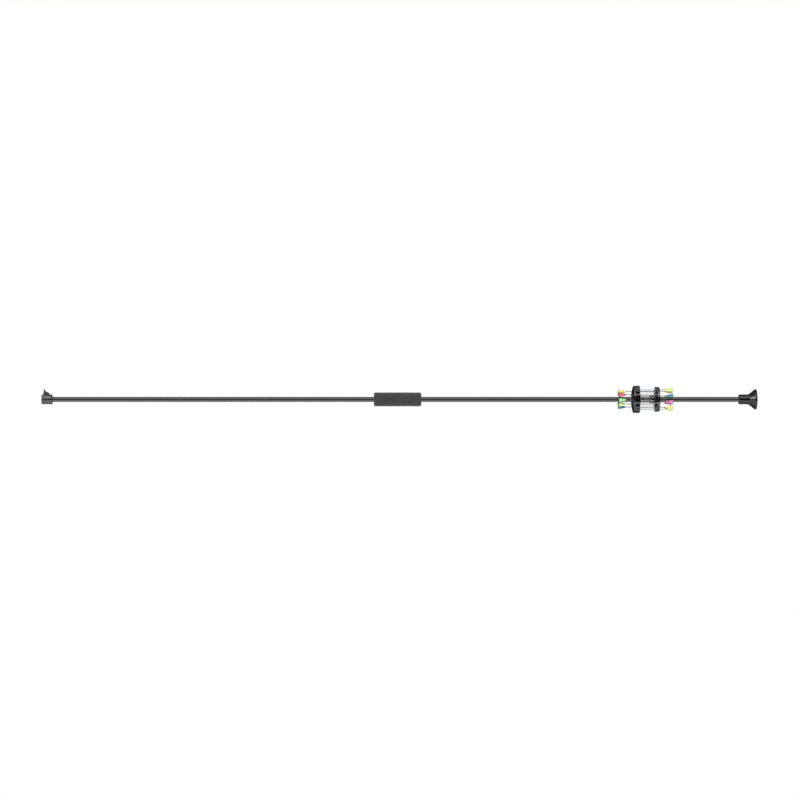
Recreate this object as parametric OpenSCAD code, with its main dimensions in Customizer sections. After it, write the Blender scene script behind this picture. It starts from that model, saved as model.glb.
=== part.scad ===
// Sport blowgun: two-piece take-down barrel, foam grip, muzzle guard with a front sight,
// flared mouthpiece and a turning dart quiver with guard tubes and cone darts.
// X runs along the bore: -X is the muzzle, +X the mouthpiece. +Z is up, where the sight stands.
// The origin is on the bore axis, halfway along the overall length. Millimetres.

/* [Barrel] */
// Overall length, muzzle guard to mouthpiece
overall_l = 1829; // [1780:1:1900]
// Outside diameter of the barrel tube
barrel_od = 12.7; // [12.4:0.1:13]
// Bore diameter for .40 calibre darts
bore_d = 10.2; // [10.16:0.02:10.6]
// Where the two barrel halves meet
split_x = -4; // [-15:1:10]

/* [Grip] */
// Outside diameter of the foam grip
grip_d = 35.8; // [32:0.2:42]
// Length of the foam grip
grip_l = 121.6; // [112:0.2:140]
// Middle of the foam grip along the barrel
grip_x = -4; // [-8:1:4]
// Length of the coupler under the grip
coupler_l = 76; // [50:1:90]
// Outside diameter of the coupler
coupler_od = 16.6; // [15.6:0.2:20]

/* [Muzzle guard] */
// Length of the muzzle guard
guard_l = 26.6; // [26:0.2:34]
// Diameter over the rear rim of the muzzle guard
guard_d = 26; // [23:0.2:30]
// Height of the sight's tip above the bore axis
sight_z = 26.8; // [22:0.2:32]
// Thickness of the sight blade
sight_t = 3.2; // [2:0.2:5]

/* [Mouthpiece] */
// Length of the mouthpiece
mouth_l = 45.5; // [44:0.5:56]
// Diameter of the mouthpiece neck
mouth_neck_d = 25.3; // [20:0.1:26]
// Diameter over the flared rim
mouth_rim_d = 52.4; // [48:0.1:56]

/* [Quiver] */
// Front face of the front holder
quiver_x = 595; // [300:0.5:640]
// Length of the quiver over both holders
quiver_l = 70.9; // [70.9:0.1:76]
// Diameter of the front holder's flange
front_flange_d = 69.6; // [68:0.2:76]
// Diameter of the rear holder's flange
rear_flange_d = 62.8; // [62.4:0.2:66]
// Number of guard tubes and of darts on each side
dart_count = 10; // [10:1:10]
// Radius of the guard tube ring, which the rear darts share
tube_ring_r = 25.8; // [25.4:0.1:26]
// Radius of the front dart ring, inside the guard tubes
inner_ring_r = 20.7; // [20.2:0.1:21]
// Outside diameter of a guard tube
tube_od = 9; // [8.6:0.1:9.2]
// Angle by which the front darts sit off the lobe middles
inner_phase = -7.5; // [-9:0.5:0]
// Angle the quiver is turned to on the barrel
quiver_turn = 3.5; // [0:0.5:36]

/* [Darts] */
// Dart length, cone base to needle tip
dart_l = 99.6; // [98:0.1:100]
// Diameter of the cone's open base
cone_d = 10.16; // [9.8:0.02:10.16]
// Length of the cone
cone_l = 18; // [15:0.5:20]
// Needle diameter
needle_d = 1; // [0.8:0.05:1.1]

/* [Hidden] */
muzzle_x = -overall_l / 2;
mouth_x = overall_l / 2;
run_gap = 0.05;           // radial clearance of a running fit
butt_gap = 0.1;           // end clearance between faces that meet
// barrel
barrel_r = barrel_od / 2;
bore_r = bore_d / 2;
front_end_x = muzzle_x + 3;
rear_end_x = mouth_x - 33;
// muzzle guard
guard_r = guard_d / 2;
guard_body_r = guard_r - 0.5;
guard_rim_l = 4;
guard_groove_l = 1.4;
guard_lip_r = bore_r + 0.4;
flute_count = 9;           // the one that would fall under the sight is left out
flute_r = 2.2;
flute_in = 1.5;
// mouthpiece
lip_r = 3.2;
flare_r = 16;              // fillet between the neck and the flare
flare_a = 40;              // slope of the flare
join_in = 0.02;            // how far straight faces start inside the rounded lip
cup_bite = 0.05;           // how far the cup's cone cuts into the rounded lip
// quiver stations along X
front_flange_l = 9;
front_dome_l = 3.4;        // how far the front face falls back towards its rim
front_dome_r = 14.8;       // and over how much of the radius
front_holder_l = 20.2;
rear_holder_l = 12.5;
rear_flange_l = 7.6;
collar_l = 12.6;
rear_x = quiver_x + quiver_l - rear_holder_l;
quiver_end_x = quiver_x + quiver_l;
collar_x = rear_x - collar_l;
// holders
step = 360 / dart_count;
tube_r = tube_od / 2;
tube_wall = 0.7;
front_cup_r = 6;
rear_cup_r = 5.5;
front_hub_r = 23.4;
front_lobe_out = 3.4;         // how far the lobes reach beyond the cups
rear_hub_r = 22.5;
rear_lobe_out = 0.6;
tube_x0 = quiver_x + 3.6;
tube_x1 = rear_x + 4.4;
needle_hole_r = needle_d / 2 + 0.1;
blind_end_x = quiver_end_x - 3;
// split sleeve that carries the quiver on the barrel
sleeve_r = 8.6;
collar_r = 11.5;
end_flange_r = 11;
end_flange_l = 3;
end_flange_gap = 0.3;
slit_w = 1.6;
// darts
front_dart_x = quiver_x - 34.2;
rear_dart_x = quiver_end_x + 32.9;
cone_r = cone_d / 2;
cone_tip_r = 1.7;
cone_wall = 0.68;
cone_hollow_l = 11.5;
cone_hollow_r = 1.2;
needle_r = needle_d / 2;
point_l = 4;
point_r = 0.08;
soft_black = "#202022";
gloss_black = "#141416";
clear_plastic = [0.85, 0.9, 0.95, 0.4];
steel = "#b8bcc0";

// ---- helpers ----

// A rod along +X from x0 to x1
module rod(x0, x1, r) {
  translate([x0, 0, 0]) rotate([0, 90, 0]) cylinder(h = x1 - x0, r = r);
}

// A tube along +X
module pipe(x0, x1, ro, ri) {
  difference() {
    rod(x0, x1, ro);
    rod(x0 - 1, x1 + 1, ri);
  }
}

// A profile of [radius, x] points turned about the X axis
module turned() {
  rotate([0, 90, 0]) rotate_extrude() children();
}

// A flat outline pushed along +X from x0 to x1; outline x becomes -Z and y stays Y
module pushed(x0, x1) {
  translate([x0, 0, 0]) rotate([0, 90, 0]) linear_extrude(height = x1 - x0) children();
}

// Puts a child that lies on the X axis on a ring; 0 degrees faces -Y and 90 degrees is up
module on_ring(r, a) {
  translate([0, -r * cos(a), r * sin(a)]) children();
}

function tube_a(i) = quiver_turn + step / 2 + step * (i - 1);
function inner_a(i) = quiver_turn + inner_phase + step * (i - 1);

// ---- barrel, grip and ends ----

module muzzle_guard() {
  rim_x = muzzle_x + guard_l - guard_rim_l;
  groove_x = rim_x - guard_groove_l;
  color(soft_black) difference() {
    union() {
      turned() polygon([
        [0, muzzle_x], [guard_body_r - 1.2, muzzle_x], [guard_body_r, muzzle_x + 1.6],
        [guard_body_r, groove_x], [guard_body_r - 0.6, groove_x], [guard_body_r - 0.6, rim_x],
        [guard_r, rim_x + 0.4], [guard_r, muzzle_x + guard_l - 1], [guard_r - 1, muzzle_x + guard_l],
        [0, muzzle_x + guard_l]
      ]);
      translate([0, sight_t / 2, 0]) rotate([90, 0, 0]) linear_extrude(height = sight_t) polygon([
        [muzzle_x + 3.6, guard_body_r - 2], [muzzle_x + 4.9, sight_z - 3.2], [muzzle_x + 5.8, sight_z],
        [muzzle_x + 6.8, sight_z], [muzzle_x + 7.6, sight_z - 3.6], [muzzle_x + 10.9, sight_z - 6.1],
        [muzzle_x + 19, sight_z - 10.6], [muzzle_x + 19.9, sight_z - 12.2],
        [muzzle_x + 19, guard_body_r - 2]
      ]);
    }
    rod(muzzle_x - 1, muzzle_x + guard_l + 1, guard_lip_r);
    rod(front_end_x, muzzle_x + guard_l + 1, barrel_r + run_gap);
    for (i = [1 : flute_count - 1])
      on_ring(guard_body_r + flute_r - flute_in, 90 + 360 / flute_count * i)
        rod(muzzle_x + 2, groove_x - 0.8, flute_r);
  }
}

module barrel_front() {
  color(gloss_black) pipe(front_end_x + butt_gap, split_x - butt_gap, barrel_r, bore_r);
}

module barrel_rear() {
  color(gloss_black) pipe(split_x, rear_end_x - butt_gap, barrel_r, bore_r);
}

module barrel_coupler() {
  x0 = grip_x - coupler_l / 2;
  x1 = grip_x + coupler_l / 2;
  color(steel) difference() {
    rod(x0, x1, coupler_od / 2);
    rod(x0 - 1, split_x, barrel_r + run_gap);
    rod(split_x - 1, x1 + 1, barrel_r);
  }
}

module foam_grip() {
  x0 = grip_x - grip_l / 2;
  x1 = grip_x + grip_l / 2;
  edge = 4.5;
  r = grip_d / 2;
  color("#4a4a4c") difference() {
    turned() union() {
      translate([0, x0 + edge]) square([r, grip_l - 2 * edge]);
      translate([0, x0]) square([r - edge, grip_l]);
      translate([r - edge, x0 + edge]) circle(r = edge);
      translate([r - edge, x1 - edge]) circle(r = edge);
    }
    rod(x0 - 1, split_x, barrel_r + run_gap);
    rod(split_x - 1, x1 + 1, barrel_r);
    rod(grip_x - coupler_l / 2, grip_x + coupler_l / 2, coupler_od / 2);
  }
}

module mouthpiece() {
  neck_r = mouth_neck_d / 2;
  x0 = mouth_x - mouth_l;
  throat_x = rear_end_x + 5;
  // middle of the rounded lip
  lip_x = mouth_x - lip_r;
  lip_ring_r = mouth_rim_d / 2 - lip_r;
  // the flare: a fillet, then a straight slope that meets the lip
  out_x = lip_x - (lip_r - join_in) * sin(flare_a);
  out_r = lip_ring_r + (lip_r - join_in) * cos(flare_a);
  fillet_r = neck_r + flare_r * (1 - cos(flare_a));
  fillet_x = out_x - (out_r - fillet_r) / tan(flare_a);
  flare_x = fillet_x - flare_r * sin(flare_a);
  // the cup: a cone from the throat to the inside of the lip
  cup_dx = lip_x - throat_x;
  cup_dr = lip_ring_r - bore_r;
  cup_a = atan2(cup_dr, cup_dx) - asin((lip_r - cup_bite) / sqrt(cup_dx * cup_dx + cup_dr * cup_dr));
  cup_x = lip_x + (lip_r - join_in) * sin(cup_a);
  cup_r = lip_ring_r - (lip_r - join_in) * cos(cup_a);
  color(gloss_black) difference() {
    turned() union() {
      polygon([
        [0, x0], [neck_r - 1, x0], [neck_r, x0 + 1], [neck_r, flare_x + 1], [0, flare_x + 1]
      ]);
      difference() {
        polygon([
          [0, flare_x], [neck_r, flare_x], [fillet_r, fillet_x], [out_r, out_x],
          [lip_ring_r, lip_x], [cup_r, cup_x], [0, cup_x]
        ]);
        translate([neck_r + flare_r, flare_x]) circle(r = flare_r);
      }
      translate([lip_ring_r, lip_x]) circle(r = lip_r);
    }
    rod(x0 - 1, rear_end_x, barrel_r + run_gap);
    rod(x0, mouth_x + 1, bore_r);
    turned() polygon([
      [0, throat_x], [bore_r, throat_x], [bore_r + (mouth_x + 1 - throat_x) * tan(cup_a), mouth_x + 1],
      [0, mouth_x + 1]
    ]);
  }
}

// ---- quiver ----

module quiver_sleeve() {
  flange_x = quiver_end_x - end_flange_l;
  color(soft_black) difference() {
    union() {
      turned() polygon([
        [0, collar_x], [collar_r - 0.8, collar_x], [collar_r, collar_x + 0.8],
        [collar_r, rear_x - butt_gap], [0, rear_x - butt_gap]
      ]);
      rod(rear_x - 1, quiver_end_x, sleeve_r);
      rod(flange_x, quiver_end_x, end_flange_r);
    }
    rod(collar_x - 1, quiver_end_x + 1, barrel_r + run_gap);
    translate([collar_x - 1, -collar_r - 1, 3.4 - slit_w / 2])
      cube([collar_l, collar_r, slit_w]);
  }
}

// Cups round the guard tubes, joined in pairs to make five double lobes round a hub.
// Each lobe reaches out_by beyond the cups with straight sides and rounded corners.
module lobes(cup_r, hub_r, out_by) {
  half_w = tube_ring_r * sin(step / 2);
  tube_out = tube_ring_r * cos(step / 2);
  circle(r = hub_r);
  for (k = [0 : dart_count / 2 - 1]) rotate([0, 0, -quiver_turn - 2 * step * k]) {
    for (side = [-half_w, half_w], out = [tube_out, tube_out + out_by])
      translate([side, -out]) circle(r = cup_r);
    translate([-half_w - cup_r, -tube_out - out_by]) square([2 * (half_w + cup_r), out_by + 1]);
    translate([-half_w, -tube_out - out_by - cup_r]) square([2 * half_w, out_by + 2 * cup_r]);
  }
}

module quiver_front_holder() {
  x1 = quiver_x + front_holder_l;
  r = front_flange_d / 2;
  color(soft_black) difference() {
    union() {
      turned() polygon([
        [0, quiver_x], [r - front_dome_r, quiver_x], [r - 1.2, quiver_x + front_dome_l],
        [r, quiver_x + front_dome_l + 1.2], [r, quiver_x + front_flange_l - 1.4],
        [r - 1.4, quiver_x + front_flange_l],
        [0, quiver_x + front_flange_l]
      ]);
      pushed(quiver_x + front_flange_l - 1, x1) lobes(front_cup_r, front_hub_r, front_lobe_out);
    }
    rod(quiver_x - 1, x1 + 1, barrel_r + run_gap);
    for (i = [1 : dart_count]) {
      on_ring(tube_ring_r, tube_a(i)) rod(tube_x0, x1 + 1, tube_r);
      on_ring(inner_ring_r, inner_a(i)) rod(quiver_x - 1, x1 + 1, needle_hole_r);
    }
  }
}

module quiver_rear_holder() {
  r = rear_flange_d / 2;
  flange_x = quiver_end_x - rear_flange_l;
  recess_x = quiver_end_x - end_flange_l - butt_gap;
  color(soft_black) difference() {
    union() {
      turned() polygon([
        [0, flange_x], [r - 1, flange_x], [r, flange_x + 1], [r, quiver_end_x - 2],
        [r - 0.6, quiver_end_x - 0.6], [r - 2, quiver_end_x], [0, quiver_end_x]
      ]);
      pushed(rear_x, flange_x + 1) lobes(rear_cup_r, rear_hub_r, rear_lobe_out);
    }
    rod(rear_x - 1, quiver_end_x + 1, sleeve_r + run_gap);
    rod(recess_x, quiver_end_x + 1, end_flange_r + end_flange_gap);
    for (i = [1 : dart_count]) {
      on_ring(tube_ring_r, tube_a(i)) rod(rear_x - 1, tube_x1, tube_r);
      on_ring(tube_ring_r, tube_a(i)) rod(rear_x - 1, quiver_end_x + 1, needle_hole_r);
      on_ring(inner_ring_r, inner_a(i)) rod(rear_x - 1, blind_end_x, needle_hole_r);
    }
  }
}

module guard_tubes() {
  color(clear_plastic)
    for (i = [1 : dart_count])
      on_ring(tube_ring_r, tube_a(i)) pipe(tube_x0, tube_x1, tube_r, tube_r - tube_wall);
}

// ---- darts ----

// Hollow cone with its open base at x = 0 and its nose towards +X
module cone() {
  turned() polygon([
    [cone_r, 0], [cone_tip_r, cone_l], [needle_r, cone_l], [needle_r, cone_hollow_l],
    [cone_hollow_r, cone_hollow_l], [cone_r - cone_wall, 0]
  ]);
}

// Needle of the same dart, from inside the cone to its point
module needle() {
  turned() polygon([
    [0, cone_hollow_l], [needle_r, cone_hollow_l], [needle_r, dart_l - point_l],
    [point_r, dart_l], [0, dart_l]
  ]);
}

module front_cone(i, c) {
  color(c) translate([front_dart_x, 0, 0]) on_ring(inner_ring_r, inner_a(i)) cone();
}

module front_needle(i) {
  color(steel) translate([front_dart_x, 0, 0]) on_ring(inner_ring_r, inner_a(i)) needle();
}

module rear_cone(i, c) {
  color(c) translate([rear_dart_x, 0, 0]) on_ring(tube_ring_r, tube_a(i)) mirror([1, 0, 0]) cone();
}

module rear_needle(i) {
  color(steel) translate([rear_dart_x, 0, 0]) on_ring(tube_ring_r, tube_a(i)) mirror([1, 0, 0]) needle();
}

neon_yellow = "#f4e84a";
neon_lime = "#c8f05a";
neon_green = "#5ce04a";
neon_red = "#e8384e";
neon_pink = "#ee3c98";
neon_blue = "#2c7fb8";
neon_orange = "#ff8a2a";

muzzle_guard();
barrel_front();
barrel_rear();
barrel_coupler();
foam_grip();
mouthpiece();
quiver_sleeve();
quiver_front_holder();
quiver_rear_holder();
guard_tubes();
front_cone(1, neon_green);  // front_dart_01_cone
front_cone(2, neon_red);  // front_dart_02_cone
front_cone(3, neon_yellow);  // front_dart_03_cone
front_cone(4, neon_orange);  // front_dart_04_cone
front_cone(5, neon_pink);  // front_dart_05_cone
front_cone(6, neon_lime);  // front_dart_06_cone
front_cone(7, neon_blue);  // front_dart_07_cone
front_cone(8, neon_green);  // front_dart_08_cone
front_cone(9, neon_blue);  // front_dart_09_cone
front_cone(10, neon_lime);  // front_dart_10_cone
front_needle(1);  // front_dart_01_needle
front_needle(2);  // front_dart_02_needle
front_needle(3);  // front_dart_03_needle
front_needle(4);  // front_dart_04_needle
front_needle(5);  // front_dart_05_needle
front_needle(6);  // front_dart_06_needle
front_needle(7);  // front_dart_07_needle
front_needle(8);  // front_dart_08_needle
front_needle(9);  // front_dart_09_needle
front_needle(10);  // front_dart_10_needle
rear_cone(1, neon_blue);  // rear_dart_01_cone
rear_cone(2, neon_lime);  // rear_dart_02_cone
rear_cone(3, neon_lime);  // rear_dart_03_cone
rear_cone(4, neon_orange);  // rear_dart_04_cone
rear_cone(5, neon_green);  // rear_dart_05_cone
rear_cone(6, neon_pink);  // rear_dart_06_cone
rear_cone(7, neon_blue);  // rear_dart_07_cone
rear_cone(8, neon_lime);  // rear_dart_08_cone
rear_cone(9, neon_yellow);  // rear_dart_09_cone
rear_cone(10, neon_pink);  // rear_dart_10_cone
rear_needle(1);  // rear_dart_01_needle
rear_needle(2);  // rear_dart_02_needle
rear_needle(3);  // rear_dart_03_needle
rear_needle(4);  // rear_dart_04_needle
rear_needle(5);  // rear_dart_05_needle
rear_needle(6);  // rear_dart_06_needle
rear_needle(7);  // rear_dart_07_needle
rear_needle(8);  // rear_dart_08_needle
rear_needle(9);  // rear_dart_09_needle
rear_needle(10);  // rear_dart_10_needle
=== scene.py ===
import math

import bmesh
import bpy
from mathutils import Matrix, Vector, noise


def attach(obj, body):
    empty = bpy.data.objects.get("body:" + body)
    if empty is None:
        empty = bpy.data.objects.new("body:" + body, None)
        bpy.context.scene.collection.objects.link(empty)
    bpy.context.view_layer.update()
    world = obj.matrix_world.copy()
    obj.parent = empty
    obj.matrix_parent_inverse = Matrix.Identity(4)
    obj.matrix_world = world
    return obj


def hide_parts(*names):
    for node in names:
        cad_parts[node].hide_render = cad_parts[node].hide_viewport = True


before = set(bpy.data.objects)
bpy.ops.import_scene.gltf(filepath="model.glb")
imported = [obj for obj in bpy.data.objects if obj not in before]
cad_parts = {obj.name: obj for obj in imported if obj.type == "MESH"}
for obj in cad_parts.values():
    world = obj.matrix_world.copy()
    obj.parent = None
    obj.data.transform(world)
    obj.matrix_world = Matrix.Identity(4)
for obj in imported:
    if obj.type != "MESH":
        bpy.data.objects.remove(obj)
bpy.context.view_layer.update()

MM = 0.001

# ---------------------------------------------------------------- sizes shared with the CAD
BARREL_R = 0.00635
DARTS_MIDDLE = 0.6298        # halfway between the open bases of the front and the rear cones
DARTS_HALF = 0.0690          # from there to either base
GUARD_TOP = 0.0128           # the sight stands above this height
GRIP_R = 0.0179
GRIP_X0, GRIP_X1 = -0.0648, 0.0568
GRIP_EDGE = 0.0045           # rounding of the grip's ends


# ---------------------------------------------------------------- shader helpers
class Net:
    """A small wrapper that makes nodes and joins them."""

    def __init__(self, name):
        self.m = bpy.data.materials.new(name)
        self.m.use_nodes = True
        self.t = self.m.node_tree
        self.t.nodes.clear()
        self.out = self.t.nodes.new("ShaderNodeOutputMaterial")
        self.b = self.add("ShaderNodeBsdfPrincipled")
        self.join(self.b.outputs[0], self.out.inputs["Surface"])
        self.co = self.add("ShaderNodeTexCoord").outputs["Object"]

    def add(self, kind, **inputs):
        n = self.t.nodes.new(kind)
        for k, v in inputs.items():
            n.inputs[k.replace("_", " ")].default_value = v
        return n

    def join(self, a, b):
        self.t.links.new(a, b)

    def put(self, socket, value):
        if isinstance(value, bpy.types.NodeSocket):
            self.join(value, self.b.inputs[socket])
        else:
            self.b.inputs[socket].default_value = value
        return self

    def stretched(self, scale):
        n = self.add("ShaderNodeMapping")
        n.inputs["Scale"].default_value = scale
        self.join(self.co, n.inputs["Vector"])
        return n.outputs["Vector"]

    def axis(self, letter):
        n = self.add("ShaderNodeSeparateXYZ")
        self.join(self.co, n.inputs[0])
        return n.outputs[letter]

    def noise(self, scale, detail=3.0, rough=0.5, vec=None):
        n = self.add("ShaderNodeTexNoise", Scale=scale, Detail=detail, Roughness=rough)
        self.join(vec or self.co, n.inputs["Vector"])
        return n.outputs["Fac"]

    def cells(self, scale):
        n = self.add("ShaderNodeTexVoronoi", Scale=scale)
        self.join(self.co, n.inputs["Vector"])
        return n.outputs["Distance"]

    def span(self, value, a, b, lo, hi):
        n = self.t.nodes.new("ShaderNodeMapRange")
        n.inputs["From Min"].default_value = a
        n.inputs["From Max"].default_value = b
        n.inputs["To Min"].default_value = lo
        n.inputs["To Max"].default_value = hi
        self.join(value, n.inputs["Value"])
        return n.outputs["Result"]

    def mixed(self, value, a, b):
        """Blends from a to b, each a colour or another socket."""
        n = self.t.nodes.new("ShaderNodeMix")
        n.data_type = "RGBA"
        self.join(value, n.inputs["Factor"])
        for k, colour in ((6, a), (7, b)):
            if isinstance(colour, bpy.types.NodeSocket):
                self.join(colour, n.inputs[k])
            else:
                n.inputs[k].default_value = (*colour, 1)
        return n.outputs[2]

    def apart(self, value, middle):
        """Distance of a value from the middle."""
        less = self.t.nodes.new("ShaderNodeMath")
        less.operation = "SUBTRACT"
        less.inputs[1].default_value = middle
        self.join(value, less.inputs[0])
        n = self.t.nodes.new("ShaderNodeMath")
        n.operation = "ABSOLUTE"
        self.join(less.outputs[0], n.inputs[0])
        return n.outputs[0]

    def sum(self, a, b, wa=1.0, wb=1.0):
        na = self.t.nodes.new("ShaderNodeMath")
        na.operation = "MULTIPLY"
        na.inputs[1].default_value = wa
        self.join(a, na.inputs[0])
        n = self.t.nodes.new("ShaderNodeMath")
        n.operation = "MULTIPLY_ADD"
        n.inputs[1].default_value = wb
        self.join(b, n.inputs[0])
        self.join(na.outputs[0], n.inputs[2])
        return n.outputs[0]

    def bump(self, height, distance, strength=1.0):
        n = self.add("ShaderNodeBump", Strength=strength, Distance=distance)
        self.join(height, n.inputs["Height"])
        self.put("Normal", n.outputs["Normal"])
        return self


def coated_tube():
    """Semi-gloss black coating: faint orange peel, hairline marks along the tube."""
    n = Net("barrel_coat")
    peel = n.noise(900, 2.0)
    hair = n.noise(60, 4.0, 0.6, n.stretched((0.6, 30, 30)))
    cloud = n.noise(9, 2.0)
    tone = n.span(cloud, 0.35, 0.65, 0, 1)
    n.put("Base Color", n.mixed(tone, (0.0028, 0.0028, 0.0032), (0.0045, 0.0045, 0.0050)))
    n.put("Roughness", n.span(n.sum(hair, cloud, 0.6, 0.4), 0.3, 0.7, 0.10, 0.19))
    n.put("Specular IOR Level", 0.85)
    n.put("Coat Weight", 0.15).put("Coat Roughness", 0.1)
    n.bump(n.sum(peel, hair, 0.7, 0.3), 0.00004, 0.5)
    return n.m


def moulded(name, dark, light, rough, grain, bump_mm, coat, gloss):
    """Injection-moulded plastic or rubber with a fine grain and uneven sheen."""
    n = Net(name)
    fine = n.noise(grain, 3.0, 0.6)
    cloud = n.noise(70, 3.0, 0.55)
    scuff = n.noise(420, 5.0, 0.7, n.stretched((0.25, 1, 1)))
    n.put("Base Color", n.mixed(n.span(cloud, 0.3, 0.7, 0, 1), dark, light))
    n.put("Roughness", n.span(n.sum(scuff, cloud, 0.5, 0.5), 0.35, 0.65, rough[0], rough[1]))
    n.put("Specular IOR Level", gloss)
    n.put("Coat Weight", coat).put("Coat Roughness", 0.12)
    n.bump(n.sum(fine, scuff, 0.8, 0.2), bump_mm * MM, 0.6)
    return n


def guard():
    """The muzzle guard's rubber, with a paler sight blade."""
    dark, light, sight = (0.005, 0.005, 0.006), (0.010, 0.010, 0.011), (0.050, 0.050, 0.052)
    n = moulded("guard_rubber", dark, light, (0.20, 0.32), 1100, 0.03, coat=0.4, gloss=0.9)
    rubber = n.b.inputs["Base Color"].links[0].from_socket
    above = n.span(n.axis("Z"), GUARD_TOP, GUARD_TOP + 1.5 * MM, 0, 1)
    n.put("Base Color", n.mixed(above, rubber, sight))
    return n.m


def mouth():
    """Gloss black mouthpiece."""
    dark, light = (0.0035, 0.0035, 0.004), (0.006, 0.006, 0.0065)
    return moulded("mouth_gloss", dark, light, (0.08, 0.16), 700, 0.008, coat=0.1, gloss=0.4).m


def quiver():
    """Black plastic of the holders and the sleeve."""
    dark, light = (0.0025, 0.0025, 0.003), (0.0045, 0.0045, 0.005)
    return moulded("quiver_plastic", dark, light, (0.09, 0.18), 1300, 0.012, coat=0.3, gloss=0.8).m


def foam():
    """Closed-cell foam rubber: small open pores darkened by painted shade, soft matte sheen."""
    n = Net("foam_cells")
    cells = n.cells(950)
    coarse = n.cells(330)
    speck = n.noise(620, 4.0, 0.7)
    cloud = n.noise(35, 2.0)
    # painted shade: the pores, which the bump below sinks, are darkened in colour as well; the cloud
    # adds a random tone
    pore = n.span(cells, 0.0, 0.42, 0, 1)
    big = n.span(coarse, 0.0, 0.2, 0, 1)
    both = n.sum(pore, big, 0.55, 0.45)
    shade = n.sum(both, n.span(cloud, 0.3, 0.7, 0, 1), 0.8, 0.2)
    n.put("Base Color", n.mixed(shade, (0.011, 0.011, 0.012), (0.030, 0.030, 0.031)))
    n.put("Roughness", n.span(speck, 0.3, 0.7, 0.86, 0.98))
    n.put("Specular IOR Level", 0.25)
    n.put("Sheen Weight", 0.25).put("Sheen Roughness", 0.6)
    n.bump(n.sum(both, speck, 0.75, 0.25), 0.00035, 0.8)
    return n.m


# how strongly, and how dark, the painted shade is laid at the cones' open bases
PAINTED_SHADE_WEIGHT, PAINTED_SHADE_DARKNESS = 0.62, 0.22


def neon(name, deep, bright):
    """Thin translucent neon plastic with flow marks, with painted shade at the cone's open base and a
    faint painted glow.
    """
    n = Net("neon_" + name)
    flow = n.noise(300, 3.0, 0.55, n.stretched((0.4, 1, 1)))
    fine = n.noise(1500, 2.0)
    body = n.mixed(n.span(flow, 0.3, 0.7, 0, 1), deep, bright)
    # painted shade: over the last 2 mm before each cone's open base the colour darkens towards a
    # fraction of the deep tone
    out = n.apart(n.axis("X"), DARTS_MIDDLE)
    base = n.span(out, DARTS_HALF - 1.9 * MM, DARTS_HALF - 0.3 * MM, 0, PAINTED_SHADE_WEIGHT)
    colour = n.mixed(base, body, tuple(PAINTED_SHADE_DARKNESS * c for c in deep))
    n.put("Base Color", colour)
    # painted glow: each cone gives off a faint light of its own colour, the painted base shade
    # included
    n.put("Emission Color", colour).put("Emission Strength", 0.10)
    n.put("Roughness", n.span(fine, 0.3, 0.7, 0.24, 0.40))
    n.put("Subsurface Weight", 0.35).put("Subsurface Radius", (1.0, 1.0, 1.0))
    n.put("Subsurface Scale", 1.2 * MM)
    n.put("Coat Weight", 0.25).put("Coat Roughness", 0.15)
    n.bump(n.sum(flow, fine, 0.6, 0.4), 0.00003, 0.5)
    return n.m


def clear():
    """Clear drawn tube: faint draw lines and a touch of haze."""
    n = Net("clear_tube")
    lines = n.noise(500, 3.0, 0.6, n.stretched((0.03, 1, 1)))
    haze = n.noise(160, 3.0)
    tone = n.span(haze, 0.3, 0.7, 0, 1)
    n.put("Base Color", n.mixed(tone, (0.965, 0.97, 0.975), (0.985, 0.99, 0.992)))
    # far below real plastic, so that the thin tubes look as pale as they should
    n.put("Transmission Weight", 1.0).put("IOR", 1.12)
    n.put("Roughness", n.span(haze, 0.3, 0.7, 0.0, 0.006))
    n.bump(lines, 0.00001, 0.2)
    return n.m


def wire():
    """Dull drawn steel wire with fine marks along it."""
    n = Net("needle_wire")
    draw = n.noise(900, 4.0, 0.6, n.stretched((0.02, 1, 1)))
    spot = n.noise(220, 3.0)
    tone = n.span(spot, 0.35, 0.65, 0, 1)
    n.put("Base Color", n.mixed(tone, (0.11, 0.115, 0.125), (0.18, 0.185, 0.20)))
    n.put("Metallic", 1.0)
    n.put("Roughness", n.span(draw, 0.3, 0.7, 0.18, 0.36))
    n.bump(draw, 0.00001, 0.5)
    return n.m


def turned_metal():
    """Plain turned aluminium: fine rings round the axis."""
    n = Net("coupler_turned")
    rings = n.noise(2600, 2.0, 0.6, n.stretched((1, 0.01, 0.01)))
    stain = n.noise(60, 3.0)
    n.put("Base Color", n.mixed(n.span(stain, 0.3, 0.7, 0, 1), (0.58, 0.59, 0.60), (0.70, 0.71, 0.72)))
    n.put("Metallic", 1.0)
    n.put("Roughness", n.span(rings, 0.3, 0.7, 0.28, 0.42))
    n.bump(rings, 0.00002, 0.6)
    return n.m


M_BARREL = coated_tube()
M_GUARD = guard()
M_MOUTH = mouth()
M_QUIVER = quiver()
M_FOAM = foam()
M_CLEAR = clear()
M_WIRE = wire()
M_METAL = turned_metal()
NEON = {
    "green": neon("green", (0.22, 0.62, 0.18), (0.42, 0.80, 0.36)),
    "red": neon("red", (0.55, 0.06, 0.14), (0.74, 0.18, 0.24)),
    "yellow": neon("yellow", (0.86, 0.74, 0.18), (0.97, 0.88, 0.36)),
    "orange": neon("orange", (0.86, 0.28, 0.07), (0.96, 0.44, 0.16)),
    "pink": neon("pink", (0.52, 0.09, 0.28), (0.70, 0.24, 0.46)),
    "lime": neon("lime", (0.56, 0.80, 0.24), (0.76, 0.92, 0.42)),
    "blue": neon("blue", (0.03, 0.15, 0.28), (0.10, 0.28, 0.38)),
}
FRONT = ["green", "red", "yellow", "orange", "pink", "lime", "blue", "green", "blue", "lime"]
REAR = ["blue", "lime", "lime", "orange", "green", "pink", "blue", "lime", "yellow", "pink"]


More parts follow.
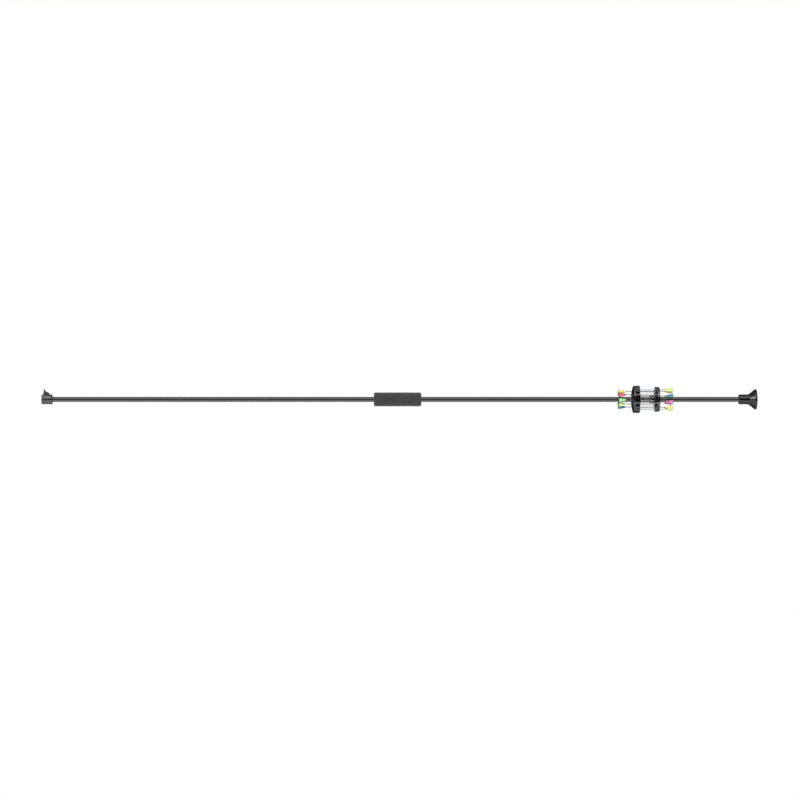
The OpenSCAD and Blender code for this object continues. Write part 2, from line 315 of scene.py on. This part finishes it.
# ---------------------------------------------------------------- mesh helpers
def finish_mesh(name, bm, material, body, smooth_deg):
    bmesh.ops.recalc_face_normals(bm, faces=bm.faces)
    me = bpy.data.meshes.new(name)
    bm.to_mesh(me)
    bm.free()
    o = bpy.data.objects.new(name, me)
    bpy.context.scene.collection.objects.link(o)
    me.materials.append(material)
    me.shade_smooth()
    me.set_sharp_from_angle(angle=math.radians(smooth_deg))
    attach(o, body)
    return o


def lathe(profile, segments, wobble):
    """Turns a closed loop of (x, radius) points about the X axis."""
    bm = bmesh.new()
    rings = []
    for x, r in profile:
        ring = []
        for k in range(segments):
            a = 2 * math.pi * k / segments
            rr = r + wobble(x, a, r)
            ring.append(bm.verts.new((x, -rr * math.cos(a), rr * math.sin(a))))
        rings.append(ring)
    for p, q in zip(rings, rings[1:] + rings[:1]):
        for k in range(segments):
            j = (k + 1) % segments
            bm.faces.new((p[k], p[j], q[j], q[k]))
    return bm


def arc(cx, cr, rad, a0, a1, n=8):
    """Points of an arc in the (x, radius) plane; 0 degrees is towards +X and 90 outwards."""
    turns = [math.radians(a0 + (a1 - a0) * k / n) for k in range(n + 1)]
    return [(cx + rad * math.cos(t), cr + rad * math.sin(t)) for t in turns]


# ---------------------------------------------------------------- CAD nodes that keep their own shape
def dress(node, material):
    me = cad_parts[node].data
    me.materials.clear()
    me.materials.append(material)


dress("barrel_front", M_BARREL)
dress("barrel_rear", M_BARREL)
dress("barrel_coupler", M_METAL)
dress("muzzle_guard", M_GUARD)
dress("mouthpiece", M_MOUTH)
dress("quiver_sleeve", M_QUIVER)
dress("quiver_front_holder", M_QUIVER)
dress("quiver_rear_holder", M_QUIVER)
dress("guard_tubes", M_CLEAR)
for i in range(10):
    dress(f"front_dart_{i + 1:02d}_cone", NEON[FRONT[i]])
    dress(f"rear_dart_{i + 1:02d}_cone", NEON[REAR[i]])
    dress(f"front_dart_{i + 1:02d}_needle", M_WIRE)
    dress(f"rear_dart_{i + 1:02d}_needle", M_WIRE)


# ---------------------------------------------------------------- foam grip
SWELL, GRAIN = 0.00012, 0.00006      # height of the slow and of the fine unevenness
LENGTH_STEPS = 60


def foam_grip():
    r, x0, x1, edge = GRIP_R, GRIP_X0, GRIP_X1, GRIP_EDGE
    inner = BARREL_R
    # the mouth of the bore opens out in three steps at either end
    mouth_steps = [(0.0016, 0.0), (0.0002, 0.002), (0.0, 0.005)]
    prof = [(x0 + along, inner + out) for along, out in mouth_steps]
    prof += arc(x0 + edge, r - edge, edge, 180, 90)
    length = x1 - x0 - 2 * edge
    prof += [(x0 + edge + length * k / LENGTH_STEPS, r) for k in range(1, LENGTH_STEPS)]
    prof += arc(x1 - edge, r - edge, edge, 90, 0)
    prof += [(x1 - along, inner + out) for along, out in reversed(mouth_steps)]

    def wobble(x, a, rr):
        if rr < inner + 0.001:
            return 0.0
        p = Vector((x * 60, math.cos(a) * 1.4, math.sin(a) * 1.4))
        q = Vector((x * 420, math.cos(a) * 9, math.sin(a) * 9))
        return SWELL * noise.noise(p) + GRAIN * noise.noise(q) - SWELL

    o = finish_mesh("foam_grip_piece", lathe(prof, 144, wobble), M_FOAM, "barrel", 60)
    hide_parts("foam_grip")


foam_grip()


# ---------------------------------------------------------------- floor, light and camera
FLOOR_Z = -0.62
FLOOR_SIDE, FLOOR_FRONT, FLOOR_BACK = 30, -1.05, 0.22
FLOOR_GLOW, FLOOR_GLOW_FRONT = 0.30, 1.5
GLOW_FROM, GLOW_TO = -0.9, -0.1       # where the front glow fades, along Y
SKY_SEEN = 1.0
SKY_RISE = (0.28, 0.62)               # height on the unit sphere over which the light comes up
SKY_TURN = (-0.75, 0.35)              # and the depth over which it dims towards the back
SKY_LOW, SKY_HIGH, SKY_BEHIND = 0.05, 2.6, 0.08


def floor():
    n = Net("studio_floor")
    grain = n.noise(14, 2.0)
    n.put("Base Color", n.mixed(grain, (0.90, 0.90, 0.90), (0.94, 0.94, 0.94)))
    n.put("Roughness", 0.9).put("Specular IOR Level", 0.1)
    n.put("Emission Color", (1, 1, 1, 1))
    n.put("Emission Strength", n.span(n.axis("Y"), GLOW_FROM, GLOW_TO, FLOOR_GLOW_FRONT, FLOOR_GLOW))
    bm = bmesh.new()
    for x, y in ((-1, FLOOR_FRONT), (1, FLOOR_FRONT), (1, FLOOR_BACK), (-1, FLOOR_BACK)):
        bm.verts.new((x * FLOOR_SIDE, y, FLOOR_Z))
    bm.faces.new(bm.verts)
    me = bpy.data.meshes.new("floor")
    bm.to_mesh(me)
    bm.free()
    o = bpy.data.objects.new("floor", me)
    me.materials.append(n.m)
    bpy.context.scene.collection.objects.link(o)


floor()


def sky():
    """White to the eye and through clear plastic. As light it is bright well above and below
    the horizon in front, and dim near the horizon and behind."""
    w = bpy.data.worlds.new("studio")
    w.use_nodes = True
    t = w.node_tree
    t.nodes.clear()

    def math_node(op, a, b=None):
        n = t.nodes.new("ShaderNodeMath")
        n.operation = op
        for k, v in enumerate((a, b)):
            if isinstance(v, bpy.types.NodeSocket):
                t.links.new(v, n.inputs[k])
            elif v is not None:
                n.inputs[k].default_value = v
        return n.outputs[0]

    def ramp(value, a, b, lo, hi):
        n = t.nodes.new("ShaderNodeMapRange")
        n.interpolation_type = "SMOOTHSTEP"
        for k, v in (("From Min", a), ("From Max", b), ("To Min", lo), ("To Max", hi)):
            n.inputs[k].default_value = v
        t.links.new(value, n.inputs["Value"])
        return n.outputs["Result"]

    out = t.nodes.new("ShaderNodeOutputWorld")
    bg = t.nodes.new("ShaderNodeBackground")
    bg.inputs["Color"].default_value = (1, 1, 1, 1)
    co = t.nodes.new("ShaderNodeTexCoord").outputs["Generated"]
    split = t.nodes.new("ShaderNodeSeparateXYZ")
    t.links.new(co, split.inputs[0])
    height = math_node("ABSOLUTE", split.outputs["Z"])
    up = ramp(height, *SKY_RISE, SKY_LOW, SKY_HIGH)
    side = ramp(split.outputs["Y"], *SKY_TURN, 1.0, SKY_BEHIND)
    light = math_node("MULTIPLY", up, side)
    path = t.nodes.new("ShaderNodeLightPath")
    seen = math_node("MAXIMUM", path.outputs["Is Camera Ray"], path.outputs["Is Transmission Ray"])
    hidden = math_node("SUBTRACT", 1.0, seen)
    unseen_part = math_node("MULTIPLY", light, hidden)
    seen_part = math_node("MULTIPLY", seen, SKY_SEEN)
    level = math_node("ADD", unseen_part, seen_part)
    t.links.new(level, bg.inputs["Strength"])
    t.links.new(bg.outputs[0], out.inputs["Surface"])
    bpy.context.scene.world = w


sky()
bpy.context.scene.view_settings.view_transform = "Standard"


LIGHT_AT, LIGHT_TO = Vector((-3.4, -1.6, 1.1)), Vector((-0.4, 0, 0))
LIGHT_SIDE, LIGHT_POWER = 1.6, 60
CAMERA_AT = (0.0022, -7.0525, -0.0003)
LENS, SENSOR = 124, 36


def add_object(name, data):
    o = bpy.data.objects.new(name, data)
    bpy.context.scene.collection.objects.link(o)
    return o


def left_box():
    d = bpy.data.lights.new("left_box", "AREA")
    d.shape = "RECTANGLE"
    d.size = LIGHT_SIDE
    d.size_y = LIGHT_SIDE
    d.energy = LIGHT_POWER
    o = add_object("left_box", d)
    o.location = LIGHT_AT
    o.rotation_euler = (LIGHT_TO - LIGHT_AT).to_track_quat("-Z", "Y").to_euler()


def camera():
    d = bpy.data.cameras.new("camera")
    d.lens = LENS
    d.sensor_width = SENSOR
    o = add_object("camera", d)
    o.location = CAMERA_AT
    o.rotation_euler = (math.radians(90), 0, 0)
    bpy.context.scene.camera = o


left_box()
camera()
